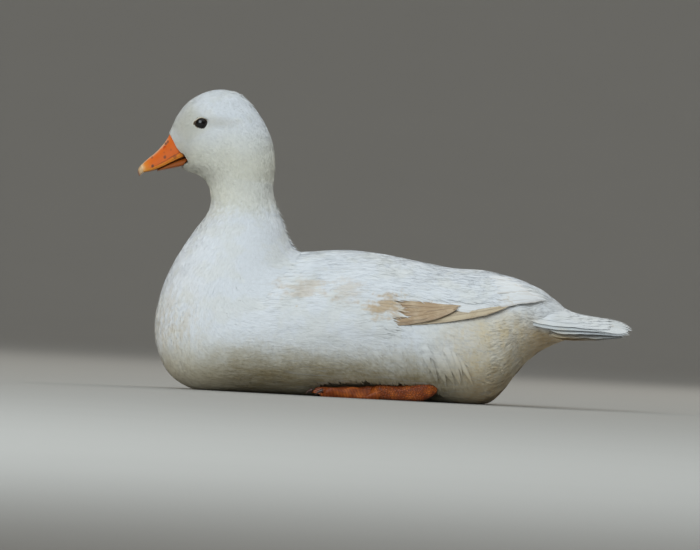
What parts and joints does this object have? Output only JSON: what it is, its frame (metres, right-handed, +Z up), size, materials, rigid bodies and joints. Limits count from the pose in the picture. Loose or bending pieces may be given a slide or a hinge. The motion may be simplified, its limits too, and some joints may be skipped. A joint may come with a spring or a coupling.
{
  "type": "white call duck, sitting",
  "caption": "Still, life-size model of a white call duck hen sitting with folded wings, raised head, short orange bill and tucked orange feet.",
  "frame": {"origin": "centre of the bounding box's base, on the floor", "axes": "+Z up, the duck faces -Y, its left side is +X, and X = 0 is its midplane"},
  "size_m": [0.139, 0.3803, 0.2273],
  "materials": {
    "plumage": "soft white feathers",
    "cream_quills": "cream flight feathers",
    "bill_horn": "orange skin over horn, satin",
    "nail_horn": "brown horn",
    "leg_skin": "scaled orange skin",
    "eye": "wet dark brown"
  },
  "bodies": {
    "root": {"trunk": "plumage", "neck": "plumage", "head": "plumage", "eye_left": "eye", "eye_right": "eye", "bill_upper": "bill_horn", "bill_lower": "bill_horn", "bill_nail": "nail_horn", "tail": "plumage", "scapulars_left": "plumage", "coverts_left": "plumage", "tertials_left": "plumage", "secondaries_left": "cream_quills", "primaries_left": "cream_quills", "shank_left": "leg_skin", "foot_left": "leg_skin", "scapulars_right": "plumage", "coverts_right": "plumage", "tertials_right": "plumage", "secondaries_right": "cream_quills", "primaries_right": "cream_quills", "shank_right": "leg_skin", "foot_right": "leg_skin"}
  },
  "joints": []
}
